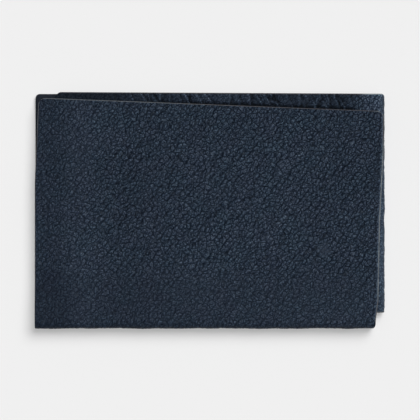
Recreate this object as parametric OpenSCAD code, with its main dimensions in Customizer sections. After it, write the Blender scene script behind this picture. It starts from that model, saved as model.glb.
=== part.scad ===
// Folded leather card holder.
//
// One L-shaped piece of grained leather makes the back, a wing that folds over it from the right
// and a flap that folds up over both from the bottom. The wing is sewn to the back along its left
// and bottom margins, over a thin leather welt, which makes a card pocket that opens at the top.
// The flap is free and covers the pocket.
//
// It lies on its back: X runs along the width, Y from the bottom fold to the pocket's mouth, and
// Z from the back's grain side (z = 0) to the flap's grain side.

/* [Holder] */
// Width over the left edge and the side fold
holder_w = 105; // [102:1:112]
// Height from the bottom fold to the top of the wing
holder_h = 71; // [70:1:78]
// How much lower the back's top edge is than the top of the wing
back_top_drop = 0.5; // [0:0.1:1]

/* [Leather] */
// Thickness of the leather
leather_t = 1.2; // [1:0.1:1.4]
// Space for a card between the back and the wing
card_gap = 0.8; // [0.8:0.1:1]
// Space between the wing and the closed flap
flap_gap = 0.4; // [0.3:0.1:0.6]

/* [Wing] */
// Distance from the holder's left edge to the wing's left edge
wing_inset = 6.4; // [5:0.1:8]
// Radius of the wing's top left corner
wing_corner_r = 1.5; // [1:0.1:3]
// Distance from the bottom fold's outside to the wing's bottom edge
wing_lift = 4.8; // [4.5:0.1:6]

/* [Flap] */
// Distance of the flap's top left corner below the top of the wing
flap_drop_left = 1.8; // [1:0.1:4]
// Distance of the flap's top right corner below the top of the wing
flap_drop_right = 5.8; // [4:0.1:8]
// How far the flap's top left corner leans in from the left edge
flap_lean_left = 1.1; // [0:0.1:1.5]
// Distance of the flap's top right corner inside the side fold
flap_inset_right = 0.4; // [0:0.1:1.5]
// Radius of the flap's top corners
flap_corner_r = 2.2; // [1:0.1:3]

/* [Relief notch] */
// Width of the notch that parts the two folds
notch_w = 2.9; // [2.9:0.1:5]

/* [Seam] */
// Width of the welt strips under the seam
welt_w = 5; // [4:0.5:6]
// Distance from one stitch to the next
stitch_pitch = 3.4; // [3:0.1:4]
// Thickness of the thread
thread_t = 0.35; // [0.3:0.05:0.4]

/* [Hidden] */
$fn = 48;

leather = [0.15, 0.18, 0.23];
leather_inside = [0.18, 0.19, 0.23];
thread = [0.10, 0.12, 0.17];

// Levels, from the back's grain side up
wing_z = leather_t + card_gap;
flap_z = wing_z + leather_t + flap_gap;
holder_t = flap_z + leather_t;

// Outer radii of the two folds, and the lines where the flat leather ends and they begin
side_fold_r = (wing_z + leather_t) / 2;
bottom_fold_r = holder_t / 2;
side_line = holder_w / 2 - side_fold_r;
bottom_line = bottom_fold_r - holder_h / 2;

// Edges of the blank
left_edge = -holder_w / 2;
top_edge = holder_h / 2;
back_top = top_edge - back_top_drop;
wing_left = left_edge + wing_inset;
wing_bottom = wing_lift - holder_h / 2;
notch_left = holder_w / 2 - notch_w;
back_corner_r = 1.3;

// The flap's sides: straight and upright at first on the left, and leaning out on the right,
// with a short heel just above the bottom fold and a shoulder below the top corner
flap_upright = 0.62 * holder_h;
flap_heel = [0.8, 6];
flap_waist = [1.5, 30];
flap_shoulder = [0.1, 12];

// Seam lines, stitches and the grooves they lie in
side_seam_x = wing_left + welt_w / 2;
side_seam_top = top_edge - 8;
bottom_seam_y = wing_bottom + welt_w / 2 - 0.5;
bottom_seam_right = side_line - 6;
stitch_gap = 0.4;
stitch_w = 0.5;
stitch_slant = 6;
side_stitches = floor((side_seam_top - bottom_seam_y) / stitch_pitch);
bottom_stitches = floor((bottom_seam_right - side_seam_x) / stitch_pitch - 0.5);
groove_w = 1;
groove_depth = thread_t + 0.1;
welt_top = side_seam_top + 2;

function unit(v) = v / norm(v);

// Points of the arc that rounds the corner b between its neighbours a and c, or b itself
function corner(a, b, c, r, steps = 6) =
    r == 0 ? [b] :
    let (u = unit(a - b),
         w = unit(c - b),
         half = acos(u * w) / 2,
         centre = b + unit(u + w) * r / sin(half),
         start = b + u * r / tan(half) - centre,
         stop = b + w * r / tan(half) - centre,
         from = atan2(start.y, start.x),
         sweep = (atan2(stop.y, stop.x) - from + 540) % 360 - 180)
    [for (i = [0:steps]) centre + r * [cos(from + sweep * i / steps), sin(from + sweep * i / steps)]];

// Outline through [x, y, radius] points, with each corner rounded to its radius
function rounded(points) =
    let (n = len(points), at = [for (p = points) [p.x, p.y]])
    [for (i = [0:n - 1]) each corner(at[(i + n - 1) % n], at[i], at[(i + 1) % n], points[i].z)];

module sheet(points, z) {
    translate([0, 0, z]) linear_extrude(leather_t) polygon(rounded(points));
}

// Half a tube of leather: the section of a fold, open towards -X, with its lowest point at y = 0
module fold_section(outer_r) {
    translate([0, outer_r]) intersection() {
        difference() {
            circle(outer_r);
            circle(outer_r - leather_t);
        }
        translate([0, -outer_r]) square(2 * outer_r);
    }
}

// Stitching grooves along both seams, from the height z up
module grooves(z) {
    translate([side_seam_x - groove_w / 2, bottom_seam_y - groove_w / 2, z]) {
        cube([groove_w, side_stitches * stitch_pitch + groove_w, groove_depth]);
        cube([(bottom_stitches + 0.5) * stitch_pitch + groove_w, groove_w, groove_depth]);
    }
}

// One stitch: a loop of thread round the back, the welt and the wing, along X from the origin
module stitch() {
    low = groove_depth - thread_t;
    high = wing_z + leather_t - low;
    length = stitch_pitch - stitch_gap;
    rotate([0, 0, stitch_slant]) translate([0, stitch_w / 2, 0]) rotate([90, 0, 0])
        linear_extrude(stitch_w) difference() {
            translate([-length / 2, low]) square([length, high - low]);
            translate([thread_t - length / 2, low + thread_t])
                square([length - 2 * thread_t, high - low - 2 * thread_t]);
        }
}

// A row of stitches along X from the origin
module stitch_row(count) {
    for (i = [1:count])
        translate([(i - 0.5) * stitch_pitch, 0, 0]) stitch();
}

module back_panel() {
    color(leather) difference() {
        sheet([[left_edge, bottom_line, 0], [notch_left, bottom_line, 0], [notch_left, wing_bottom, 0.4],
               [side_line, wing_bottom, 0], [side_line, back_top, 0], [left_edge, back_top, back_corner_r]], 0);
        grooves(0);
    }
}

module side_fold() {
    color(leather) translate([side_line, back_top, 0]) rotate([90, 0, 0])
        linear_extrude(back_top - wing_bottom) fold_section(side_fold_r);
}

module pocket_wing() {
    color(leather) difference() {
        sheet([[wing_left, wing_bottom, wing_corner_r], [side_line, wing_bottom, 0],
               [side_line, back_top, 0], [wing_left, top_edge, wing_corner_r]], wing_z);
        grooves(wing_z + leather_t - groove_depth);
    }
}

module bottom_fold() {
    color(leather) translate([notch_left, bottom_line, 0]) rotate([90, 0, -90])
        linear_extrude(notch_left - left_edge) fold_section(bottom_fold_r);
}

module front_flap() {
    right = holder_w / 2;
    color(leather)
        sheet([[left_edge, bottom_line, 0],
               [notch_left, bottom_line, 0],
               [notch_left + flap_heel[0], bottom_line + flap_heel[1], 0],
               [right - flap_waist[0] - flap_inset_right / 4, bottom_line + flap_waist[1], 0],
               [right - flap_inset_right - flap_shoulder[0], top_edge - flap_drop_right - flap_shoulder[1], 0],
               [right - flap_inset_right, top_edge - flap_drop_right, flap_corner_r],
               [left_edge + flap_lean_left, top_edge - flap_drop_left, flap_corner_r],
               [left_edge, flap_upright - holder_h / 2, 0]], flap_z);
}

module side_welt() {
    color(leather_inside) translate([wing_left, wing_bottom, leather_t])
        cube([welt_w, welt_top - wing_bottom, card_gap]);
}

module bottom_welt() {
    color(leather_inside) translate([wing_left + welt_w, wing_bottom, leather_t])
        cube([side_line - 2 - wing_left - welt_w, welt_w - 1, card_gap]);
}

module side_seam_thread() {
    color(thread) translate([side_seam_x, bottom_seam_y, 0]) rotate([0, 0, 90])
        stitch_row(side_stitches);
}

// Its first stitch starts half a pitch past the corner, clear of the side seam's
module bottom_seam_thread() {
    color(thread) translate([side_seam_x + stitch_pitch / 2, bottom_seam_y, 0])
        stitch_row(bottom_stitches);
}

back_panel();
side_fold();
pocket_wing();
bottom_fold();
front_flap();
side_welt();
bottom_welt();
side_seam_thread();
bottom_seam_thread();
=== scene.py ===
"""A folded card holder of dark blue pebbled leather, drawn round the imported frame.

The leather is one blank, so each stretch of it is built from the same flat pattern. A point of the
pattern is (u, v) in millimetres: the back lies at its own x and y, the flap hangs below it past the
bottom fold, and the wing lies to its right past the side fold. The grain is worked out on the flat
pattern, so it runs on over both folds, and then the pattern is folded into place.
"""

import math

import bpy
import numpy as np
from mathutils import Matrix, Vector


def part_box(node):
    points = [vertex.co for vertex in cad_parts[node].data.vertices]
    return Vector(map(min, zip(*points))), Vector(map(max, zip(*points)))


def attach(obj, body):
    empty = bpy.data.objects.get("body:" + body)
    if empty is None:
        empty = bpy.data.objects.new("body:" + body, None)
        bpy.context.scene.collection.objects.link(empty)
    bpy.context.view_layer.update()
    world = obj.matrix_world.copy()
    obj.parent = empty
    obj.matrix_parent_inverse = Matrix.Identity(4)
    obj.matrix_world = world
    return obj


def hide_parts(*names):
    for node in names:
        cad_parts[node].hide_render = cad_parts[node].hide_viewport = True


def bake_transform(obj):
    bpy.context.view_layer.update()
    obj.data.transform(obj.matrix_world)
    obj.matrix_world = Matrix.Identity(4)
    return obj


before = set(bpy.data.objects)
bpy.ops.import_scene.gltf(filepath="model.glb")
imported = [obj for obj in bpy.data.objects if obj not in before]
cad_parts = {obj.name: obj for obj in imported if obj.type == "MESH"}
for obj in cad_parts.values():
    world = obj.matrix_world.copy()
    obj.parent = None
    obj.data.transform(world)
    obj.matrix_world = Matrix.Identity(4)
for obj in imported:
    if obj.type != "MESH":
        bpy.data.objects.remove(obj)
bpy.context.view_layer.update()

MM = 0.001


# ---------------------------------------------------------------- sizes, in millimetres


def box_mm(node):
    """Lowest and highest corner of a CAD node."""
    low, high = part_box(node)
    return np.array(low) / MM, np.array(high) / MM


back_low, back_high = box_mm("back_panel")
_, side_high = box_mm("side_fold")
wing_low, _ = box_mm("pocket_wing")
fold_low, fold_high = box_mm("bottom_fold")

LEATHER = back_high[2]
LEFT = back_low[0]
RIGHT = side_high[0]
BACK_TOP = back_high[1]
SIDE_LINE = back_high[0]
BOTTOM_LINE = back_low[1]
SIDE_R = side_high[2] / 2
BOTTOM_R = fold_high[2] / 2
NOTCH_LEFT = fold_high[0]
WING_LEFT = wing_low[0]
WING_BOTTOM = wing_low[1]
TOP = -fold_low[1]

# The corners' radii, and the flap's outline: its top corners below the top edge, and its sides
BACK_CORNER_R = 1.3
WING_CORNER_R = 1.5
FLAP_CORNER_R = 2.2
FLAP_DROP = (1.8, 5.8)
FLAP_TOP_X = (LEFT + 1.1, RIGHT - 0.4)
FLAP_UPRIGHT_Y = 8.5
FLAP_RIGHT_Y = (BOTTOM_LINE, BOTTOM_LINE + 6, BOTTOM_LINE + 30, TOP - 17.8, TOP - 5.8)
FLAP_RIGHT_X = (NOTCH_LEFT, NOTCH_LEFT + 0.8, RIGHT - 1.6, RIGHT - 0.5, RIGHT - 0.4)

# Where the pattern's folds end
FLAP_V = BOTTOM_LINE - math.pi * BOTTOM_R
WING_U = SIDE_LINE + math.pi * SIDE_R

# The grid that the leather is drawn on, and its rounded rims: insets, and the depths of the grain
# side and the flesh side there as shares of the leather
GRID = 0.34
RIM_WIDTH = 0.40
RIM_INSET = np.array([0.0, 0.0, 0.05, 0.18])
RIM_DEPTH = np.array([0.55, 0.30, 0.13, 0.03])
RIM_FLESH = np.array([0.55, 0.55, 0.88, 0.88])

# How high the grain and the flesh side's nap stand
PEBBLE_HEIGHT = 0.16
NAP_HEIGHT = 0.03


# ---------------------------------------------------------------- noise


def smooth(start, end, value):
    """0 at start, 1 at end, with a soft step between them."""
    t = np.clip((value - start) / (end - start), 0, 1)
    return t * t * (3 - 2 * t)


def lattice(seed, channels):
    """Random numbers from 0 to 1 on a square grid."""
    return np.random.default_rng(seed).random((256, 256, channels))


def noise(u, v, size, seed):
    """Smooth noise from -1 to 1 with blobs about size across."""
    table = lattice(seed, 1)[..., 0]
    x, y = u / size, v / size
    i, j = np.floor(x).astype(int), np.floor(y).astype(int)
    a, b = smooth(0, 1, x - i), smooth(0, 1, y - j)
    low = table[i & 255, j & 255] * (1 - a) + table[(i + 1) & 255, j & 255] * a
    high = table[i & 255, (j + 1) & 255] * (1 - a) + table[(i + 1) & 255, (j + 1) & 255] * a
    return 2 * (low * (1 - b) + high * b) - 1


def fractal(u, v, size, seed, octaves=3):
    """Noise with finer and fainter noise on it."""
    return sum(noise(u, v, size / 2**k, seed + k) / 2**k for k in range(octaves))


def ridges(u, v, size, stretch, seed):
    """Long cells across u, drawn out along v: how far each point is from its cell's border, from 0
    to about 1, and its cell's own random number."""
    x, y = u / size, v / (size * stretch)
    i, j = np.floor(x).astype(int), np.floor(y).astype(int)
    table = lattice(seed, 3)
    first, second, own = np.full(x.shape, 9.0), np.full(x.shape, 9.0), np.zeros(x.shape)
    for di in (-1, 0, 1):
        for dj in (-1, 0, 1):
            spot = table[(i + di) & 255, (j + dj) & 255]
            far = np.hypot(i + di + spot[..., 0] - x, j + dj + spot[..., 1] - y)
            nearer = far < first
            second = np.where(nearer, first, np.minimum(second, far))
            own = np.where(nearer, spot[..., 2], own)
            first = np.where(nearer, far, first)
    return second - first, own


# ---------------------------------------------------------------- the grain


def settle(node, **values):
    """The node, with its properties and sockets set by name."""
    for key, value in values.items():
        if hasattr(node, key):
            setattr(node, key, value)
        else:
            node.inputs[key.replace("_", " ")].default_value = value
    return node


def add(tree, kind, **values):
    """A new node, with its properties and sockets set by name."""
    return settle(tree.nodes.new(kind), **values)


def connect(tree, value, socket):
    """Links another node's output to the socket, or sets it to a plain value."""
    if isinstance(value, bpy.types.NodeSocket):
        tree.links.new(value, socket)
    else:
        socket.default_value = value


def step(tree, value, start, end, low=0.0, high=1.0):
    """A soft step from low to high as value goes from start to end."""
    node = add(tree, "ShaderNodeMapRange", interpolation_type="SMOOTHSTEP")
    settle(node, From_Min=start, From_Max=end, To_Min=low, To_Max=high)
    tree.links.new(value, node.inputs["Value"])
    return node.outputs["Result"]


def operate(tree, kind, operation, values):
    """The result of an operation on sockets and plain values."""
    node = add(tree, kind, operation=operation)
    for socket, value in zip(node.inputs, values):
        connect(tree, value, socket)
    return node.outputs[0]


def maths(tree, operation, *values):
    return operate(tree, "ShaderNodeMath", operation, values)


def vectors(tree, operation, *values):
    return operate(tree, "ShaderNodeVectorMath", operation, values)


def turned(tree, where, angle):
    """where, turned about Z by an angle in degrees."""
    node = add(tree, "ShaderNodeVectorRotate", rotation_type="Z_AXIS", Angle=math.radians(angle))
    tree.links.new(where, node.inputs["Vector"])
    return node.outputs[0]


def split(tree, vector):
    """A vector's components."""
    node = add(tree, "ShaderNodeSeparateXYZ")
    tree.links.new(vector, node.inputs[0])
    return node.outputs


def any_noise(tree, where, output="Fac", **values):
    """Noise at where, with the node's values set by name."""
    node = add(tree, "ShaderNodeTexNoise", **values)
    tree.links.new(where, node.inputs["Vector"])
    return node.outputs[output]


def soft_noise(tree, where, size, detail=2.0, output="Fac"):
    """Noise on the flat pattern, with blobs about size mm across."""
    return any_noise(tree, where, output, noise_dimensions="2D", Scale=1 / size, Detail=detail)


# The two sizes of cells that make the grain: how wide, how drawn out and at what angle
PEBBLE = (1.04, 1.6, -48)
WRINKLE = (0.47, 1.7, -42)
# Long creases run through them, at this distance from each other and this angle
VEIN_GAP, VEIN_ANGLE = 1.7, -54


def cell_texture(tree, where, cell, feature):
    """Cells of one of the grain's sizes."""
    size, stretch, angle = cell
    scale = (1 / (size * stretch), 1 / size, 0)
    cells = add(tree, "ShaderNodeTexVoronoi", voronoi_dimensions="2D", feature=feature)
    settle(cells, Scale=1.0, Randomness=0.95)
    tree.links.new(vectors(tree, "MULTIPLY", turned(tree, where, -angle), scale), cells.inputs["Vector"])
    return cells.outputs


def veins(tree, where):
    """Long creases side by side, each wandering a little and fading in and out."""
    along = turned(tree, where, -VEIN_ANGLE)
    wandering = maths(tree, "MULTIPLY_ADD", soft_noise(tree, where, 2.4), 2.4, split(tree, along)["Y"])
    lines = add(tree, "ShaderNodeTexVoronoi", voronoi_dimensions="1D", feature="DISTANCE_TO_EDGE")
    lines.inputs["Scale"].default_value = 1 / VEIN_GAP
    tree.links.new(wandering, lines.inputs["W"])
    drawn_out = vectors(tree, "MULTIPLY", along, (0.4, 1, 0))
    fading = step(tree, soft_noise(tree, drawn_out, 1.2), 0.38, 0.52)
    return maths(tree, "MULTIPLY", step(tree, lines.outputs["Distance"], 0.17, 0.05), fading)


def domed(tree, border, wall, rise, slope):
    """A cell's height: it rises over a wall at its border, then slopes on up to its middle."""
    middle = maths(tree, "MULTIPLY", border, slope)
    return maths(tree, "MULTIPLY_ADD", step(tree, border, 0.0, wall), rise, middle)


def grain(tree, where):
    """The grain, from pattern coordinates in mm: the broad pebbles' height, the fine wrinkles'
    height on them, both from 0 to about 1, and how far each point is down a crease. The meshes and
    the material both use it, so that they agree."""
    shift = vectors(tree, "SUBTRACT", soft_noise(tree, where, 1.7, output="Color"), (0.5, 0.5, 0.5))
    bent = vectors(tree, "ADD", where, vectors(tree, "MULTIPLY", shift, (1.2, 1.2, 0)))
    border = cell_texture(tree, bent, PEBBLE, "DISTANCE_TO_EDGE")["Distance"]
    own = cell_texture(tree, bent, PEBBLE, "F1")["Color"]
    small = cell_texture(tree, bent, WRINKLE, "DISTANCE_TO_EDGE")["Distance"]
    vein = veins(tree, where)
    dome = domed(tree, border, 0.16, 0.55, 1.1)
    dome = maths(tree, "MULTIPLY", dome, step(tree, own, 0.0, 1.0, 0.92, 1.06))
    broad = maths(tree, "SUBTRACT", dome, maths(tree, "MULTIPLY", vein, 0.45))
    fine = domed(tree, small, 0.2, 0.6, 1.0)
    crease = maths(tree, "MAXIMUM", step(tree, border, 0.125, 0.04, 0.0, 0.94), vein)
    crease = maths(tree, "MAXIMUM", crease, step(tree, small, 0.13, 0.02, 0.0, 0.62))
    return broad, fine, crease


def grain_sampler():
    """Geometry nodes that store the grain's height at points laid out on the flat pattern."""
    tree = bpy.data.node_groups.new("grain_sampler", "GeometryNodeTree")
    tree.interface.new_socket("Geometry", in_out="INPUT", socket_type="NodeSocketGeometry")
    tree.interface.new_socket("Geometry", in_out="OUTPUT", socket_type="NodeSocketGeometry")
    start, end = add(tree, "NodeGroupInput"), add(tree, "NodeGroupOutput")
    store = add(tree, "GeometryNodeStoreNamedAttribute", data_type="FLOAT", domain="POINT")
    store.inputs["Name"].default_value = "height"
    broad, fine, _ = grain(tree, add(tree, "GeometryNodeInputPosition").outputs[0])
    height = maths(tree, "MULTIPLY_ADD", fine, 0.25, broad)
    tree.links.new(height, {s.identifier: s for s in store.inputs if s.enabled}["Value"])
    tree.links.new(start.outputs[0], store.inputs["Geometry"])
    tree.links.new(store.outputs["Geometry"], end.inputs[0])
    return tree


def pebbles(u, v):
    """The grain's height at pattern coordinates, from about 0 in its creases to about 1."""
    mesh = bpy.data.meshes.new("samples")
    mesh.from_pydata(np.stack([u, v, 0 * u], -1).reshape(-1, 3).tolist(), [], [])
    samples = bpy.data.objects.new("samples", mesh)
    bpy.context.scene.collection.objects.link(samples)
    samples.modifiers.new("grain", "NODES").node_group = sampler
    shown = samples.evaluated_get(bpy.context.evaluated_depsgraph_get()).data
    height = np.zeros(len(mesh.vertices), np.float32)
    shown.attributes["height"].data.foreach_get("value", height)
    bpy.data.objects.remove(samples)
    bpy.data.meshes.remove(mesh)
    return height.reshape(u.shape).astype(float)


sampler = grain_sampler()


# ---------------------------------------------------------------- the leather's relief

# The line pressed along the flap's right edge, and the spot rubbed smooth: its middle, its reach
GROOVE_INSET, GROOVE_DEPTH = 1.15, 0.10
RUBBED_AT, RUBBED_REACH = (34.2, -11.9), (2.0, 2.5)

# The seams' corner, and how many stitches run up the side and, half a pitch on, along the bottom
SEAM_X, SEAM_Y = WING_LEFT + 2.5, WING_BOTTOM + 2.0
PITCH = 3.4
SIDE_STITCHES, BOTTOM_STITCHES = 16, 25


def flap_right(y):
    return np.interp(y, FLAP_RIGHT_Y, FLAP_RIGHT_X)


def flap_left(y):
    return np.interp(y, (FLAP_UPRIGHT_Y, TOP - FLAP_DROP[0]), (LEFT, FLAP_TOP_X[0]))


def flap_top(x):
    return np.interp(x, FLAP_TOP_X, (TOP - FLAP_DROP[0], TOP - FLAP_DROP[1]))


def wing_top(x):
    return np.interp(x, (WING_LEFT, SIDE_LINE), (TOP, BACK_TOP))


def on_flap(v):
    """How far up the flap a point of the pattern is, as the holder's y."""
    return BOTTOM_LINE + FLAP_V - v


def on_wing(u):
    """Where along the wing a point of the pattern is, as the holder's x."""
    return SIDE_LINE + WING_U - u


def seam_pull(x, y):
    """How deep the thread pulls the leather in along the two seams, most where it goes through."""
    pull = 0
    side_row = (x - SEAM_X, y - SEAM_Y, SIDE_STITCHES)
    bottom_row = (y - SEAM_Y, x - SEAM_X - PITCH / 2, BOTTOM_STITCHES)
    for aside, along, count in (side_row, bottom_row):
        run = along / PITCH
        sewn = smooth(-0.2, 0, run) * smooth(count + 0.2, count, run)
        hole = np.hypot(aside, (run - np.round(run)) * PITCH)
        furrow = 0.26 * smooth(0.9, 0.25, np.abs(aside))
        pull = np.maximum(pull, sewn * (furrow + 0.2 * smooth(0.8, 0.1, hole)))
    return pull


def hollows(x, y):
    """The wing's wrinkles along the pocket's mouth, where cards have pushed it: how deep in a
    wrinkle each point is, how high on the lip beside one, and how worn the leather is there."""
    worn = smooth(-14, -4, y - wing_top(x)) * smooth(-34, -14, x) * smooth(46, 41, x)
    skewed = x + 0.34 * (y - TOP) + 0.9 * noise(x, y, 6, 111) + 0.3 * noise(x, y, 1.5, 112)
    border, own = ridges(skewed, y, 2.9, 5.0, 121)
    beside, _ = ridges(skewed + 0.55, y, 2.9, 5.0, 121)
    wrinkle = smooth(0.20, 0.04, border) * (0.35 + 0.65 * own)
    lip = smooth(0.17, 0.03, beside) * (1 - wrinkle) * (0.35 + 0.65 * own)
    return wrinkle, lip, worn


def under_flap(x, y):
    """1 just above the flap's top edge, where it presses on the wing, more so to the right. The wing
    dips there and is darkened with painted shade.
    """
    gap = y - flap_top(x)
    return smooth(1.2, 0.1, gap) * smooth(-1.0, -0.2, gap) * smooth(-34, 10, x) * smooth(46, 42, x)


def flap_look(u, v, tone, depth):
    """The flap's own changes to tone and depth: a smoother rim down the right, painted lighter where it
    rolls towards the light, with a line pressed beside it that is darkened with painted shade, a darker
    rubbed spot, and calmer, darker grain at its left and, from the bottom fold up, at its foot."""
    y, flap = on_flap(v), v < FLAP_V
    inset = flap_right(y) - u
    rim = smooth(1.1, 0.2, inset) * flap
    groove = smooth(0.35, 0.0, np.abs(inset - GROOVE_INSET)) * smooth(TOP - 3, TOP - 9, y) * flap
    away = np.hypot((u - RUBBED_AT[0]) / RUBBED_REACH[0], (y - RUBBED_AT[1]) / RUBBED_REACH[1])
    rubbed = smooth(1.15, 0.35, away) * flap
    front = smooth(BOTTOM_LINE, FLAP_V, v)
    foot = front * smooth(-12, -25, y) * smooth(51, 43, u)
    calm = (1 - 0.22 * front * smooth(-22, -46, u)) * (1 - 0.26 * foot)
    # Painted light on the right rim, painted shade in the pressed line, and the rubbed spot's own darker
    # colour
    tone = tone + 0.12 * rim - 0.18 * groove - 0.26 * rubbed
    tone = tone - 0.13 * front * smooth(-36, -47, u) - 0.15 * foot
    return tone, depth * (1 - 0.75 * rim) * (1 - 0.88 * rubbed) * calm


def wing_look(u, v, tone, depth):
    """The wing's own changes: painted shade along the mouth, deepest at its plain left, wrinkles along
    the rest of it with painted highlights on their lips and painted shade in their hollows, the darkest
    painted shade under the flap's edge, and painted light towards the side fold."""
    x = on_wing(u)
    mouth = smooth(-20, -9, v - wing_top(x))
    plain = mouth * smooth(-18, -30, x)
    wrinkle, lip, worn = hollows(x, v)
    # Painted highlights on the wrinkles' lips and painted shade in their hollows, over the worn strip
    strip = worn * (0.54 * lip - 0.42 * wrinkle + 0.10 * noise(u, v, 2.4, 143))
    # Painted shade over the strip along the mouth, deepest at its plain left and just above the flap's
    # edge
    strip = (strip - 0.215 - 0.24 * plain - 0.38 * under_flap(x, v)) * mouth
    # Painted light towards the side fold
    painted_light_near_fold = smooth(40.0, 50.0, x + 1.5 * noise(u, v, 1.8, 144)) * (0.35 + 0.65 * mouth)
    return tone + strip + (0.34 - strip) * painted_light_near_fold, depth * (1 - 0.75 * plain) * (1 - 0.35 * worn * mouth)


def look(u, v):
    """How light the leather is, with 0.5 as its own colour, and how deep its grain is. Its lightness
    holds painted light and shade in places as well as the leather's own tone.
    """
    wing = u > WING_U
    turning = (u > SIDE_LINE) & ~wing & (v >= FLAP_V)
    tone = 0.5 + 0.035 * noise(u, v, 22, 131)
    depth = 0.94 + 0.05 * noise(u, v, 14, 71)
    tone, depth = flap_look(u, v, tone, depth)
    wing_tone, wing_depth = wing_look(u, v, tone, depth)
    tone, depth = np.where(wing, wing_tone, tone), np.where(wing, wing_depth, depth)
    # The side fold's grain is drawn out along it in streaks, the fold is painted lighter where it turns
    # towards the light, and its top corner gets a painted highlight
    streaks = 1.2 * noise(u * 3, v * 0.3, 1.1, 141) + noise(u * 4, v, 1.4, 142)
    tone = np.where(turning, tone + 0.14 + 0.11 * streaks, tone)
    depth = np.where(turning, 0.55, depth)
    x = on_wing(u)
    painted_glint = smooth(0.8, 0.35, wing_top(x) - v) * smooth(44.5, 47.5, x) * smooth(54.4, 53.4, x)
    tone = np.where(wing | turning, tone + (1 - tone) * painted_glint, tone)
    return np.clip(tone, 0, 1), depth


def edge_look(u, v):
    """How light the raw edge is: its own paler core, clearest at the flap's top left, and painted
    highlights down the flap's right side, at its top right corner and on the wing's top edge by the side
    fold.
    """
    x, y, x_wing = u, on_flap(v), on_wing(u)
    # Its own paler core along the top, fading to the right, and a painted highlight at the top right
    # corner
    top = 0.60 - 0.46 * smooth(-32, 26, x) + 0.7 * smooth(48.5, 50.5, x)
    left = (0.42 * smooth(2, 24, y) + 0.26 * smooth(22, 28, y)) * smooth(0, -10, x)
    # A painted highlight down most of the right side and round the top corner
    right = 0.22 + 0.78 * smooth(24, 16, y) * smooth(-32, -22, y) + 0.6 * smooth(27.3, 28.2, y)
    right = right * (0.85 + 0.3 * noise(x * 0, y, 2.2, 145))
    flap_edge = np.where(flap_top(x) - y < 1.2, top, np.where(x < 0, left, right))
    # A painted highlight on the wing's top edge near the side fold
    wing_edge = np.where(v > 0, 0.05 + 0.95 * smooth(44, 48, x_wing), 0.42)
    return np.clip(np.where(v < FLAP_V, flap_edge, np.where(u > SIDE_LINE, wing_edge, 0.05)), 0, 1)


def relief(u, v):
    """Height of the grain side over the plain leather, below it except on the folds, whose
    leather is uneven."""
    _, depth = look(u, v)
    height = PEBBLE_HEIGHT * np.minimum(depth * (pebbles(u, v) - 0.75) - 0.45, 0)
    flap, wing = v < FLAP_V, u > WING_U
    height -= seam_pull(np.where(wing, on_wing(u), u), v) * ~flap
    beside = np.abs(flap_right(on_flap(v)) - u - GROOVE_INSET)
    height -= GROOVE_DEPTH * smooth(0.45, 0.0, beside) * flap
    turn_bottom = np.clip((BOTTOM_LINE - v) / BOTTOM_R, 0, math.pi)
    turn_side = np.where(v > FLAP_V, np.clip((u - SIDE_LINE) / SIDE_R, 0, math.pi), 0)
    height += np.sin(turn_bottom) ** 2 * (0.04 + 0.10 * fractal(u, v * 0.6, 3.2, 81))
    height += np.sin(turn_side) ** 2 * (0.02 + 0.10 * fractal(u * 0.6, v, 2.0, 91))
    return height


def flap_lift(x, y):
    """How far the closed flap stands off its flat place: it sinks where no wing lies under it,
    rolls down at its right edge and lifts a little along the mouth."""
    free = smooth(BOTTOM_LINE, BOTTOM_LINE + 14, y)
    sink = -0.9 * smooth(WING_LEFT + 3, LEFT, x)
    roll = -0.35 * smooth(2.4, 0.0, flap_right(y) - x)
    lip = 0.28 * smooth(-14, 0, y - flap_top(x)) * smooth(-30, 40, x)
    return free * (sink + roll + lip + 0.10 * noise(x, y, 24, 101))


def wing_lift(x, y):
    """The wing's wrinkles along the pocket's mouth, and the dip under the flap's edge."""
    wrinkle, lip, worn = hollows(x, y)
    wrinkles = worn * (0.10 * lip - 0.35 * wrinkle)
    dip = -0.35 * under_flap(x, y) * smooth(SIDE_LINE, SIDE_LINE - 4, x)
    return wrinkles + dip


# ---------------------------------------------------------------- folding the pattern


def squared(turn, power=0.72):
    """Sine and cosine of a turn, drawn out towards a square so that a pressed fold has it."""
    sine, cosine = np.sin(turn), np.cos(turn)
    return np.abs(sine) ** power * np.sign(sine), np.abs(cosine) ** power * np.sign(cosine)


def fold_up(u, v, depth):
    """Back, bottom fold and flap: the point at that depth below the grain side, and the grain
    side's outward direction there."""
    turn = np.clip((BOTTOM_LINE - v) / BOTTOM_R, 0, math.pi)
    run = np.maximum(v - BOTTOM_LINE, 0) + np.maximum(FLAP_V - v, 0)
    reach = BOTTOM_R - depth
    sine, cosine = squared(turn)
    y = BOTTOM_LINE + run - reach * sine
    z = BOTTOM_R - reach * cosine
    z = z + np.where(v < FLAP_V, flap_lift(u, on_flap(v)), 0)
    out = np.stack([0 * u, -np.sin(turn), -np.cos(turn)], -1)
    return np.stack([u, y, z], -1), out


def fold_over(u, v, depth):
    """Back, side fold and wing, in the same way. The fold's top corner is tucked in a little."""
    turn = np.clip((u - SIDE_LINE) / SIDE_R, 0, math.pi)
    run = np.minimum(u - SIDE_LINE, 0) - np.maximum(u - WING_U, 0)
    reach = SIDE_R - depth
    tuck = 0.45 * smooth(1.0, 0.0, BACK_TOP - v) ** 2 * np.sin(turn)
    x = SIDE_LINE + run + (reach - tuck) * np.sin(turn)
    z = SIDE_R - reach * np.cos(turn)
    z = z + np.where(u > WING_U, wing_lift(on_wing(u), v), 0)
    out = np.stack([np.sin(turn), 0 * u, -np.cos(turn)], -1)
    return np.stack([x, v, z], -1), out


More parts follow.
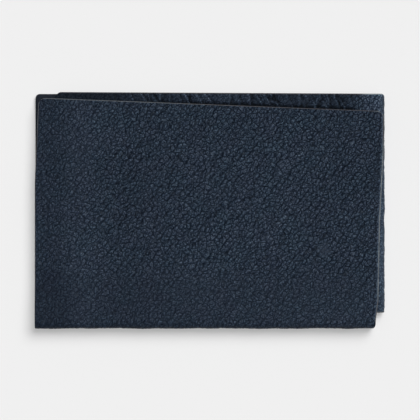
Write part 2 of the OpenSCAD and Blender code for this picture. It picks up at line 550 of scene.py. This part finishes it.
def stations(length, start_cut, end_cut, bevel):
    """Grid lines across a panel: each one's share of the way, its offset, and its depth on the
    grain side and the flesh side as a share of the leather. A cut side gets a rounded rim."""
    count = 2 * max(1, round(length / GRID / 2))
    share = np.linspace(0, 1, count + 1)
    offset = RIM_WIDTH * ((1 - share) * start_cut - share * end_cut)
    grain, flesh = np.zeros(count + 1), np.ones(count + 1)
    if start_cut:
        share, offset = np.r_[np.zeros(4), share], np.r_[RIM_INSET, offset]
        grain, flesh = np.r_[RIM_DEPTH, grain], np.r_[RIM_FLESH, flesh]
    if end_cut:
        share, offset = np.r_[share, np.ones(4)], np.r_[offset, -RIM_INSET[::-1]]
        grain, flesh = np.r_[grain, RIM_DEPTH[::-1]], np.r_[flesh, RIM_FLESH[::-1]]
    return share, offset * bevel, grain, flesh


def round_corner(x, y, corner, inward, radius):
    """Draws the square corner of a grid in to a round one."""
    p = 1 - (x - corner[0]) * inward[0] / radius
    q = 1 - (y - corner[1]) * inward[1] / radius
    near = (p > 0) & (q > 0)
    p, q = np.where(near, p, 0), np.where(near, q, 0)
    dx = p * (1 - np.sqrt(np.maximum(1 - q * q / 2, 0)))
    dy = q * (1 - np.sqrt(np.maximum(1 - p * p / 2, 0)))
    return x + inward[0] * radius * dx, y + inward[1] * radius * dy


# ---------------------------------------------------------------- meshes

SIDES = ("start_u", "end_u", "start_v", "end_v")
GRAIN, EDGE, FLESH = 0, 1, 2

# Each stretch of leather, with a mark for each of its points that its neighbours may share
leather_pieces = []


def lay(u_line, v_line, side, locate, fold):
    """One face of a stretch, 0 for the grain side and 1 for the flesh side, which takes every
    second grid line: its pattern coordinates, its depth as a share of the leather, its points and
    its outward directions."""
    us, uo, *u_depth = (a[::side + 1] for a in u_line)
    vs, vo, *v_depth = (a[::side + 1] for a in v_line)
    u, v = locate(us[None, :], uo[None, :], vs[:, None], vo[:, None])
    further_in = (np.maximum, np.minimum)[side]
    share = further_in(u_depth[side][None, :], v_depth[side][:, None])
    point, out = fold(u, v, share * LEATHER)
    return u, v, share, point, out


def borders(index):
    """The grid's points along each of its sides."""
    return dict(zip(SIDES, (index[:, 0], index[:, -1], index[0], index[-1])))


def rim_or(slot, row, column, shape, cut, width):
    """The cut edge's material within width cells of a cut side, and otherwise the given one."""
    near = dict(zip(SIDES, (column, shape[1] - 2 - column, row, shape[0] - 2 - row)))
    return EDGE if any(near[side] < width for side in cut) else slot


def grain_faces(index, cut, edge_rows):
    """The grain side's faces and their materials."""
    faces, slots = [], []
    for r in range(index.shape[0] - 1):
        for c in range(index.shape[1] - 1):
            faces.append([index[r, c], index[r, c + 1], index[r + 1, c + 1], index[r + 1, c]])
            slots.append(rim_or(GRAIN, r, c, index.shape, cut, edge_rows))
    return faces, slots


def flesh_faces(inner, outer, cut):
    """The flesh side's faces and their materials. Along a cut side each face takes in the grain
    side's point between its own two, so that the two sides meet without a gap."""
    faces, slots = [], []
    rows, columns = inner.shape
    for r in range(rows - 1):
        for c in range(columns - 1):
            ring = [inner[r, c]]
            if r == 0 and "start_v" in cut:
                ring.append(outer[0, 2 * c + 1])
            ring.append(inner[r, c + 1])
            if c == columns - 2 and "end_u" in cut:
                ring.append(outer[2 * r + 1, -1])
            ring.append(inner[r + 1, c + 1])
            if r == rows - 2 and "end_v" in cut:
                ring.append(outer[-1, 2 * c + 1])
            ring.append(inner[r + 1, c])
            if c == 0 and "start_u" in cut:
                ring.append(outer[2 * r + 1, 0])
            faces.append(ring[::-1])
            slots.append(rim_or(FLESH, r, c, inner.shape, cut, 1))
    return faces, slots


def cap_faces(outer, inner, cut, same):
    """Faces that close the sides that aren't cut."""
    outer_border, inner_border = borders(outer), borders(inner)
    faces = []
    for side in SIDES:
        if side in cut:
            continue
        a = outer_border[side].tolist()
        b = [same.get(i, i) for i in inner_border[side].tolist()]
        for k in range(len(b) - 1):
            ring = list(dict.fromkeys((a[2 * k], a[2 * k + 1], a[2 * k + 2], b[k + 1], b[k])))
            faces.append(ring[::-1] if side in ("start_v", "end_u") else ring)
    return faces


def rows_of(*columns):
    """Grids of numbers as one list of points, a column for each."""
    return np.stack(columns, -1).reshape(-1, len(columns))


def leather_mesh(name, points, attributes, faces, slots, materials):
    """A smooth mesh of the points that the faces use, and which points those are."""
    used = np.unique(np.concatenate([np.array(face) for face in faces]))
    renumber = np.full(len(points), -1)
    renumber[used] = np.arange(len(used))
    mesh = bpy.data.meshes.new(name)
    mesh.from_pydata((points[used] * MM).tolist(), [], [renumber[np.array(f)].tolist() for f in faces])
    mesh.polygons.foreach_set("material_index", slots)
    mesh.polygons.foreach_set("use_smooth", np.ones(len(mesh.polygons), bool))
    for key, values in attributes.items():
        layer = mesh.attributes.new(key, "FLOAT_VECTOR", "POINT")
        layer.data.foreach_set("vector", values[used].astype(np.float32).ravel())
    for material in materials:
        mesh.materials.append(material)
    return mesh, used


def panel(name, size, cut, locate, fold, materials, bevel=0.35, flip=False, edge_rows=2):
    """A closed stretch of leather. size is its (width, height), cut names the sides that are cut
    edges, locate turns grid shares and offsets into pattern coordinates, fold places them, and
    materials are the grain's, the cut edge's and the flesh side's. bevel is how wide its rims are,
    as a share of RIM_WIDTH, flip turns its faces over, and edge_rows is how many rows of faces at a
    cut side show the cut edge."""
    u_line = stations(size[0], "start_u" in cut, "end_u" in cut, bevel)
    v_line = stations(size[1], "start_v" in cut, "end_v" in cut, bevel)
    u, v, share, point, out = lay(u_line, v_line, 0, locate, fold)
    above_rim = 1 - share / RIM_DEPTH[0]
    grain_points = point + out * (relief(u, v) * above_rim)[..., None]
    ui, vi, share_i, point, out = lay(u_line, v_line, 1, locate, fold)
    below_rim = (share_i - RIM_DEPTH[0]) / (1 - RIM_DEPTH[0])
    flesh_points = point + out * (NAP_HEIGHT * fractal(ui, vi, 1.6, 131) * below_rim)[..., None]

    points = np.concatenate([grain_points.reshape(-1, 3), flesh_points.reshape(-1, 3)])
    pattern = np.concatenate([rows_of(u, v, 0 * u), rows_of(ui, vi, 0 * ui)])
    tone, depth = look(u, v)
    tone = np.where(share > 0, edge_look(u, v), tone)
    seen = np.concatenate([rows_of(tone, depth, 0 * u), rows_of(edge_look(ui, vi), 0 * ui, 0 * ui)])

    # The two sides share the grain side's points along a cut edge
    outer = np.arange(u.size).reshape(u.shape)
    inner = np.arange(ui.size).reshape(ui.shape) + u.size
    outer_border, inner_border = borders(outer), borders(inner)
    same = {}
    for side in cut:
        same.update(zip(inner_border[side].tolist(), outer_border[side][::2].tolist()))
    faces, slots = grain_faces(outer, cut, edge_rows)
    more_faces, more_slots = flesh_faces(inner, outer, cut)
    faces = [[same.get(int(i), int(i)) for i in face] for face in faces + more_faces]

    # Sides that aren't cut are closed with points of their own, so that they shade flat
    shared = len(points)
    caps = cap_faces(outer, inner, cut, same)
    copied = sorted({i for ring in caps for i in ring})
    copy_of = {i: shared + n for n, i in enumerate(copied)}
    faces += [[copy_of[i] for i in ring] for ring in caps]
    slots += more_slots + [EDGE] * len(caps)
    points, pattern, seen = (np.concatenate([a, a[copied]]) for a in (points, pattern, seen))
    if flip:
        faces = [face[::-1] for face in faces]

    attributes = {"pattern": pattern, "look": seen}
    mesh, used = leather_mesh(name, points, attributes, faces, slots, materials)
    piece = bpy.data.objects.new(name, mesh)
    bpy.context.scene.collection.objects.link(piece)
    leather_pieces.append((piece, used < shared))
    return piece


def join_shading():
    """Gives points that two stretches of leather share the same normal, so that no seam shows."""
    totals, pieces = {}, []
    for piece, shared in leather_pieces:
        mesh = piece.data
        places = np.zeros(len(mesh.vertices) * 3, np.float32)
        normals = np.zeros_like(places)
        mesh.vertices.foreach_get("co", places)
        mesh.vertex_normals.foreach_get("vector", normals)
        normals = normals.reshape(-1, 3)
        keys = [tuple(k) for k in np.round(places.reshape(-1, 3) / MM * 500).astype(int).tolist()]
        pieces.append((piece, shared, keys, normals))
        for i in np.nonzero(shared)[0]:
            totals[keys[i]] = totals.get(keys[i], 0) + normals[i]
    for piece, shared, keys, normals in pieces:
        joined = np.array([totals[k] if s else n for k, s, n in zip(keys, shared, normals)])
        joined /= np.maximum(np.linalg.norm(joined, axis=1, keepdims=True), 1e-9)
        piece.data.normals_split_custom_set_from_vertices(joined.tolist())


# ---------------------------------------------------------------- materials


def new_material(name):
    """A material, its nodes and its shader."""
    material = bpy.data.materials.new(name)
    material.use_nodes = True
    tree = material.node_tree
    return material, tree, tree.nodes["Principled BSDF"]


def ramp(tree, source, *stops):
    """The colour at source, between stops of a position and a colour."""
    node = tree.nodes.new("ShaderNodeValToRGB")
    while len(node.color_ramp.elements) < len(stops):
        node.color_ramp.elements.new(0.5)
    for element, (at, colour) in zip(node.color_ramp.elements, stops):
        element.position = at
        element.color = (*colour, 1)
    tree.links.new(source, node.inputs["Fac"])
    return node.outputs["Color"]


def attribute(tree, name):
    return add(tree, "ShaderNodeAttribute", attribute_name=name).outputs["Vector"]


def look_of(tree):
    """How light the leather is at each point, and how deep its grain is."""
    parts = split(tree, attribute(tree, "look"))
    return parts["X"], parts["Y"]


def bump(tree, shader, height, distance, strength):
    """Roughens the shader's surface by the height, over a distance in metres."""
    node = add(tree, "ShaderNodeBump", Distance=distance)
    connect(tree, strength, node.inputs["Strength"])
    tree.links.new(height, node.inputs["Height"])
    tree.links.new(node.outputs[0], shader.inputs["Normal"])


def mix_colours(tree, factor, a, b, blend="MIX"):
    """a and b mixed by a factor. Each of them is a socket or a colour."""
    node = add(tree, "ShaderNodeMix", data_type="RGBA", blend_type=blend)
    sockets = {s.identifier: s for s in node.inputs}
    connect(tree, factor, sockets["Factor_Float"])
    for key, value in (("A_Color", a), ("B_Color", b)):
        connect(tree, (*value, 1) if isinstance(value, tuple) else value, sockets[key])
    return {s.identifier: s for s in node.outputs}["Result_Color"]


def grained_leather():
    """Dark navy, with faint teal and purple casts, glossier on its pebbles than in its creases."""
    material, tree, shader = new_material("grained_leather")
    where = attribute(tree, "pattern")
    tone, depth = look_of(tree)
    broad, fine, crease = grain(tree, where)

    # Two casts, light and dark specks, the brightest of them painted glints, and creases that are nearly
    # black, partly their own darker colour and partly painted shade
    purple, teal = (0.0186, 0.0278, 0.0498), (0.0168, 0.0287, 0.0498)
    body = ramp(tree, soft_noise(tree, where, 7.0, 3.0), (0.35, purple), (0.65, teal))
    specks = soft_noise(tree, where, 0.42, 1.0)
    shade = ramp(tree, specks,
                 (0.30, (0.62, 0.64, 0.70)), (0.52, (0.92, 0.92, 0.92)), (0.67, (2.75, 2.60, 2.22)))
    body = mix_colours(tree, 1.0, body, shade, "MULTIPLY")
    crease_colour_and_shade = maths(tree, "MULTIPLY", crease, maths(tree, "MINIMUM", depth, 0.92))
    body = mix_colours(tree, crease_colour_and_shade, body, (0.0002, 0.0022, 0.0074))
    # Its tone, which holds painted light and shade in places as well as the leather's own tone, darkens
    # or lightens it, and 0.5 leaves it as it is
    light = ramp(tree, tone,
                 (0.0, (0.05, 0.06, 0.09)), (0.25, (0.38, 0.42, 0.50)), (0.5, (1.0, 1.0, 1.0)),
                 (0.85, (2.55, 2.4, 2.15)), (1.0, (8.0, 8.8, 6.8)))
    tree.links.new(mix_colours(tree, 1.0, body, light, "MULTIPLY"), shader.inputs["Base Color"])

    # Duller down in the creases and where its tone is low
    height = maths(tree, "MULTIPLY_ADD", fine, 0.35, broad)
    duller = maths(tree, "MAXIMUM", maths(tree, "MULTIPLY_ADD", tone, -0.9, 0.45), 0.0)
    rough = maths(tree, "ADD", step(tree, height, 0.3, 1.0, 0.55, 0.32), duller)
    tree.links.new(rough, shader.inputs["Roughness"])
    speckled = maths(tree, "MULTIPLY_ADD", specks, 0.3, height)
    bump(tree, shader, speckled, 0.00020, maths(tree, "MINIMUM", depth, 1.0))
    settle(shader, Specular_IOR_Level=0.22, Specular_Tint=(0.74, 0.88, 1.0, 1))
    return material


def cut_edge():
    """The raw edge: dark where its tone is low, its paler fibres where it is higher, and cool and pale
    where its tone holds a painted highlight.
    """
    material, tree, shader = new_material("cut_edge")
    tone, _ = look_of(tree)
    fibre = soft_noise(tree, attribute(tree, "pattern"), 0.7, 4.0)
    # The cool colour is the painted highlight's, the warm one the edge's own fibres
    painted_highlight_colour = ramp(tree, fibre, (0.3, (0.110, 0.128, 0.140)), (0.7, (0.190, 0.212, 0.226)))
    warm = ramp(tree, fibre, (0.3, (0.132, 0.116, 0.110)), (0.7, (0.208, 0.188, 0.180)))
    bare = mix_colours(tree, step(tree, tone, 0.30, 0.55), warm, painted_highlight_colour)
    tree.links.new(mix_colours(tree, tone, (0.010, 0.012, 0.020), bare), shader.inputs["Base Color"])
    bump(tree, shader, fibre, 0.00008, 0.6)
    settle(shader, Roughness=0.7, Specular_IOR_Level=0.2)
    return material


def flesh_side():
    """The leather's inside, a short nap that is brushed a little paler in patches."""
    material, tree, shader = new_material("flesh_side")
    where = attribute(tree, "pattern")
    nap = any_noise(tree, where, Scale=1.5, Detail=6.0, Roughness=0.8)
    fine = ramp(tree, nap, (0.30, (0.0034, 0.0048, 0.0086)), (0.70, (0.0212, 0.0268, 0.0392)))
    brushed = ramp(tree, soft_noise(tree, where, 6.0, 3.0),
                   (0.35, (0.84, 0.84, 0.86)), (0.65, (1.06, 1.06, 1.05)))
    tree.links.new(mix_colours(tree, 1.0, fine, brushed, "MULTIPLY"), shader.inputs["Base Color"])
    bump(tree, shader, nap, 0.00012, 0.7)
    settle(shader, Roughness=0.92, Specular_IOR_Level=0.12, Sheen_Weight=0.15, Sheen_Roughness=0.5)
    return material


def waxed_thread():
    """Dark blue thread, its plies fuzzed a little, with painted shade between them."""
    material, tree, shader = new_material("waxed_thread")
    where = add(tree, "ShaderNodeTexCoord").outputs["Object"]
    fuzz = any_noise(tree, where, Scale=3200.0, Detail=3.0)
    lit = ramp(tree, fuzz, (0.3, (0.020, 0.027, 0.046)), (0.7, (0.052, 0.064, 0.092)))
    colour = mix_colours(tree, attribute(tree, "ply"), (0.004, 0.005, 0.009), lit)
    tree.links.new(colour, shader.inputs["Base Color"])
    bump(tree, shader, fuzz, 0.00003, 0.4)
    shader.inputs["Roughness"].default_value = 0.48
    return material


def welt_leather():
    """The welts' cut leather, its fibres running in thin layers."""
    material, tree, shader = new_material("welt_leather")
    where = add(tree, "ShaderNodeTexCoord").outputs["Object"]
    layers = vectors(tree, "MULTIPLY", where, (900.0, 900.0, 5200.0))
    fibre = any_noise(tree, layers, Scale=1.0, Detail=4.0, Roughness=0.65)
    patch = any_noise(tree, where, Scale=160.0, Detail=2.0)
    colour = ramp(tree, fibre, (0.3, (0.012, 0.014, 0.021)), (0.7, (0.058, 0.056, 0.062)))
    shade = ramp(tree, patch, (0.3, (0.7, 0.7, 0.72)), (0.7, (1.0, 1.0, 1.0)))
    tree.links.new(mix_colours(tree, 1.0, colour, shade, "MULTIPLY"), shader.inputs["Base Color"])
    bump(tree, shader, fibre, 0.00008, 0.7)
    settle(shader, Roughness=0.85, Specular_IOR_Level=0.2)
    return material


# ---------------------------------------------------------------- the leather, stretch by stretch


def across(share, offset, low, high):
    """The place at a share of the way from low to high, moved on by an offset."""
    return low + share * (high - low) + offset


def locate_back(us, uo, vs, vo):
    x = across(us, uo, LEFT, SIDE_LINE) + 0 * vs
    y = across(vs, vo, WING_BOTTOM, BACK_TOP) + 0 * us
    return round_corner(x, y, (LEFT, BACK_TOP), (1, -1), BACK_CORNER_R)


def notch_rim(v):
    """How much of its rim the cut edge beside the notch has: none in the notch's inner corner."""
    return smooth(0, 1.2, WING_BOTTOM - v)


def fold_right(v):
    """The cut edge beside the notch draws in a little where the leather turns."""
    turn = np.clip((BOTTOM_LINE - v) / BOTTOM_R, 0, math.pi)
    return NOTCH_LEFT - 0.5 * np.sin(turn) ** 3


def locate_lower_fold(us, uo, vs, vo):
    v = across(vs, vo, WING_BOTTOM, BOTTOM_LINE - math.pi / 2 * BOTTOM_R) + 0 * us
    rim = np.where(us > 0.5, notch_rim(v), 1)
    return across(us, uo * rim, LEFT, fold_right(v)), v


def locate_upper_fold(us, uo, vs, vo):
    v = across(vs, vo, BOTTOM_LINE - math.pi / 2 * BOTTOM_R, FLAP_V) + 0 * us
    return across(us, uo, LEFT, fold_right(v)), v


def locate_flap(us, uo, vs, vo):
    y = across(vs, 0.5 * vo, BOTTOM_LINE, flap_top(across(us, 0, *FLAP_TOP_X)))
    x = across(us, np.where(us < 0.5, 0.5 * uo, 0.75 * uo), flap_left(y), flap_right(y))
    x, y = round_corner(x, y, (FLAP_TOP_X[0], flap_top(FLAP_TOP_X[0])), (1, -1), FLAP_CORNER_R)
    x, y = round_corner(x, y, (FLAP_TOP_X[1], flap_top(FLAP_TOP_X[1])), (-1, -1), FLAP_CORNER_R)
    return x, BOTTOM_LINE + FLAP_V - y


def locate_side_fold(us, uo, vs, vo):
    u = across(us, uo, SIDE_LINE, WING_U) + 0 * vs
    rim = np.where(vs < 0.5, smooth(0, math.pi / 3 * SIDE_R, u - SIDE_LINE), 1)
    return u, across(vs, vo * rim, WING_BOTTOM, BACK_TOP)


def locate_wing(us, uo, vs, vo):
    x = across(us, uo, SIDE_LINE, WING_LEFT) + 0 * vs
    y = across(vs, vo, WING_BOTTOM, wing_top(across(us, 0, SIDE_LINE, WING_LEFT)))
    x, y = round_corner(x, y, (WING_LEFT, TOP), (1, -1), WING_CORNER_R)
    x, y = round_corner(x, y, (WING_LEFT, WING_BOTTOM), (1, 1), WING_CORNER_R)
    return SIDE_LINE + WING_U - x, y


def leather():
    """The five stretches of the blank, the bottom fold in two halves."""
    materials = grained_leather(), cut_edge(), flesh_side()
    half_turn = math.pi / 2 * BOTTOM_R
    width, tall = NOTCH_LEFT - LEFT, BACK_TOP - WING_BOTTOM
    back = panel("back_panel_leather", (SIDE_LINE - LEFT, tall), ("start_u", "end_v"),
                 locate_back, fold_up, materials, flip=True)
    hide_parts("back_panel")
    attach(back, "pocket")
    side = panel("side_fold_leather", (math.pi * SIDE_R, tall), ("start_v", "end_v"),
                 locate_side_fold, fold_over, materials, bevel=0.8, flip=True, edge_rows=4)
    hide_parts("side_fold")
    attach(side, "pocket")
    wing = panel("pocket_wing_leather", (SIDE_LINE - WING_LEFT, tall), ("end_u", "start_v", "end_v"),
                 locate_wing, fold_over, materials, bevel=0.8, flip=True, edge_rows=4)
    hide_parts("pocket_wing")
    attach(wing, "pocket")
    lower = panel("bottom_fold_lower_half", (width, BOTTOM_LINE - WING_BOTTOM + half_turn),
                  ("start_u", "end_u"), locate_lower_fold, fold_up, materials)
    upper = panel("bottom_fold_upper_half", (width, half_turn), ("start_u", "end_u"),
                  locate_upper_fold, fold_up, materials)
    flap = panel("front_flap_leather", (width, TOP - FLAP_DROP[0] - BOTTOM_LINE),
                 ("start_u", "end_u", "end_v"), locate_flap, fold_up, materials, bevel=1.0, edge_rows=4)
    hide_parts("front_flap")
    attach(flap, "flap")
    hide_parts("bottom_fold")
    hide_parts("bottom_fold")
    join_shading()
    # Points on a slant across each half, where it begins and where it ends
    near, far = LEATHER / 2, BOTTOM_R - LEATHER / 2
    slant = ((near, near), (far, far), (far, 2 * BOTTOM_R - far), (near, 2 * BOTTOM_R - near))
    points = [(0, (BOTTOM_LINE - y) * MM, z * MM) for y, z in slant]
    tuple(points[0])
    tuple(points[1])
    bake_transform(lower)
    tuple(points[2])
    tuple(points[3])
    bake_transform(upper)


# ---------------------------------------------------------------- the seams and their welts


def ring_faces(rings, around, closed):
    """Faces of a skin over rings of points, joined end to end or closed at both ends."""
    faces = []
    for i in range(rings if closed else rings - 1):
        a, b = i * around, (i + 1) % rings * around
        faces += [[a + j, b + j, b + (j + 1) % around, a + (j + 1) % around] for j in range(around)]
    if not closed:
        faces += [list(range(around)), list(range(rings * around - 1, (rings - 1) * around - 1, -1))]
    return faces


def place(name, points, faces, material, node):
    """A smooth piece, its points in mm, that stands in for a node of the pocket's body."""
    mesh = bpy.data.meshes.new(name)
    mesh.from_pydata((np.asarray(points) * MM).tolist(), [], faces)
    mesh.polygons.foreach_set("use_smooth", np.ones(len(faces), bool))
    mesh.materials.append(material)
    piece = bpy.data.objects.new(name, mesh)
    bpy.context.scene.collection.objects.link(piece)
    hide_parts(node)
    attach(piece, "pocket")
    return piece


# The thread's half width and half thickness, the levels that its loops run at, how far a loop
# reaches along the seam, and the rings of points along a loop and the points round a ring
THREAD = (0.25, 0.175)
THREAD_LOW, THREAD_HIGH = 0.1 + THREAD[1], 2 * SIDE_R - 0.1 - THREAD[1]
LOOP_REACH = 1.32
RINGS, AROUND = 76, 15


def stitch(turn, squeeze):
    """A closed loop of three-ply thread through the leather, along X round the origin, and how
    far out each of its points is on its ply, from 0 to 1."""
    angle = np.linspace(0, 2 * math.pi, 721)
    sine, cosine = squared(angle, 0.36)
    x = (LOOP_REACH - squeeze) * cosine
    z = (THREAD_LOW + THREAD_HIGH) / 2 + (THREAD_HIGH - THREAD_LOW) / 2 * sine
    run = np.r_[0, np.cumsum(np.hypot(np.diff(x), np.diff(z)))]
    at = np.linspace(0, run[-1], RINGS + 1)
    x, z = np.interp(at, run, x)[:-1], np.interp(at, run, z)[:-1]
    dx, dz = np.roll(x, -1) - np.roll(x, 1), np.roll(z, -1) - np.roll(z, 1)
    long = np.hypot(dx, dz)
    out_x, out_z = dz / long, -dx / long
    theta = np.linspace(0, 2 * math.pi, AROUND, endpoint=False)[None, :]
    twist = 2 * math.pi * 3 * at[:-1, None] / run[-1]
    ply = np.abs(np.cos(1.5 * (theta - twist))) ** 0.7
    reach = 0.80 + 0.20 * ply
    side, out = THREAD[0] * reach * np.cos(theta), THREAD[1] * reach * np.sin(theta)
    px, pz = x[:, None] + out * out_x[:, None], z[:, None] + out * out_z[:, None]
    c, s = math.cos(turn), math.sin(turn)
    return np.stack([c * px - s * side, s * px + c * side, pz], -1).reshape(-1, 3), ply.ravel()


def seam(name, node, count, start, upwards, material, seed):
    """A row of stitches from start, along X or up Y, each with its own small slip of the hand."""
    slips = np.random.default_rng(seed).uniform(-1, 1, (count, 3))
    points, faces, plies = [], [], []
    for i, (slant, squeeze, drift) in enumerate(slips):
        loop, ply = stitch(math.radians(6 + 1.2 * slant), 0.02 + 0.02 * squeeze)
        loop = loop + ((i + 0.5) * PITCH, 0.03 * drift, 0)
        if upwards:
            loop = np.stack([-loop[:, 1], loop[:, 0], loop[:, 2]], -1)
        faces += [[k + len(ply) * i for k in face] for face in ring_faces(RINGS, AROUND, True)]
        points.append(loop + (*start, 0))
        plies.append(ply)
    piece = place(name, np.concatenate(points), faces, material, node)
    layer = piece.data.attributes.new("ply", "FLOAT_VECTOR", "POINT")
    layer.data.foreach_set("vector", np.repeat(np.concatenate(plies), 3).astype(np.float32))


def rounded_box(half_width, half_height, radius):
    """A rectangle's outline round the origin, anticlockwise, with its corners rounded."""
    outline = []
    for a, b in ((1, -1), (1, 1), (-1, 1), (-1, -1)):
        for t in (1, 0.5, 0) if a * b < 0 else (0, 0.5, 1):
            turn = t * math.pi / 2
            x = half_width - radius * (1 - math.cos(turn))
            y = half_height - radius * (1 - math.sin(turn))
            outline.append((a * x, b * y))
    return np.array(outline)


def welt(name, node, material, seed):
    """A strip of leather between the back and the wing, its cut edges a little uneven."""
    low, high = box_mm(node)
    run = int(np.argmax(high - low))
    middle, half = (low + high) / 2, (high - low) / 2
    count = int(2 * half[run] / 0.5)
    along = np.r_[-1.0, np.linspace(-1, 1, count), 1.0] * (half[run] - 0.02)
    shrink = np.r_[0.12, np.zeros(count), 0.12]
    profile = rounded_box(half[1 - run], half[2], 0.14)
    rings = []
    for at, less in zip(along, shrink):
        ring = np.zeros((len(profile), 3))
        uneven = noise(np.full(len(profile), at), profile[:, 0], 2.2, seed)
        ring[:, run] = at
        ring[:, 1 - run] = profile[:, 0] - np.sign(profile[:, 0]) * (less + 0.06 * (1 + uneven))
        ring[:, 2] = profile[:, 1] * (1 - less / half[2]) * 0.985
        rings.append(ring + middle)
    faces = ring_faces(len(rings), len(profile), False)
    if run == 1:
        faces = [face[::-1] for face in faces]
    place(name, np.concatenate(rings), faces, material, node)


def seams():
    """The side seam and the bottom seam, each a row of stitches over a welt."""
    thread, strip = waxed_thread(), welt_leather()
    side_start, bottom_start = (SEAM_X, SEAM_Y), (SEAM_X + PITCH / 2, SEAM_Y)
    seam("side_seam_stitches", "side_seam_thread", SIDE_STITCHES, side_start, True, thread, 151)
    seam("bottom_seam_stitches", "bottom_seam_thread", BOTTOM_STITCHES, bottom_start, False, thread, 152)
    welt("side_welt_strip", "side_welt", strip, 161)
    welt("bottom_welt_strip", "bottom_welt", strip, 162)


# ---------------------------------------------------------------- stage


def sun(name, strength, width, turn):
    """A lamp of an angular width, turned from straight down, both in degrees."""
    lamp = bpy.data.lights.new(name, "SUN")
    lamp.energy = strength
    lamp.angle = math.radians(width)
    holder = bpy.data.objects.new(name, lamp)
    holder.rotation_euler = [math.radians(a) for a in turn]
    bpy.context.scene.collection.objects.link(holder)


def pale_floor():
    """A pale sheet just below the holder, far wider than the picture."""
    reach = 1.5
    corners = [(-reach, -reach, 0), (reach, -reach, 0), (reach, reach, 0), (-reach, reach, 0)]
    mesh = bpy.data.meshes.new("floor")
    mesh.from_pydata(corners, [], [(0, 1, 2, 3)])
    floor = bpy.data.objects.new("floor", mesh)
    bpy.context.scene.collection.objects.link(floor)
    floor.location.z = -0.00002
    material, _, shader = new_material("pale_floor")
    settle(shader, Base_Color=(0.82, 0.82, 0.82, 1), Roughness=0.9, Specular_IOR_Level=0.0)
    mesh.materials.append(material)


def camera():
    """A long lens straight above the holder, whose width is a set share of the picture's."""
    holder_share = 0.83473
    centre_y, flap_level = 0.0001, 0.004
    lens = bpy.data.cameras.new("camera")
    lens.lens = 200
    lens.clip_start = 0.01
    view_width = (RIGHT - LEFT) * MM / holder_share
    distance = view_width * lens.lens / lens.sensor_width
    eye = bpy.data.objects.new("camera", lens)
    bpy.context.scene.collection.objects.link(eye)
    eye.location = (0, centre_y, flap_level + distance)
    bpy.context.scene.camera = eye


def stage():
    """The floor, the camera, and soft light from above and from a wide lamp behind on the right."""
    pale_floor()
    camera()
    world = bpy.data.worlds.new("studio")
    world.use_nodes = True
    settle(world.node_tree.nodes["Background"], Color=(1, 1, 1, 1), Strength=0.10)
    bpy.context.scene.world = world
    sun("overhead", 1.48, 12, (0, 0, 0))
    sun("key", 2.05, 42, (-33, 26, 0))
    bpy.context.scene.view_settings.view_transform = "Standard"


leather()
seams()
stage()
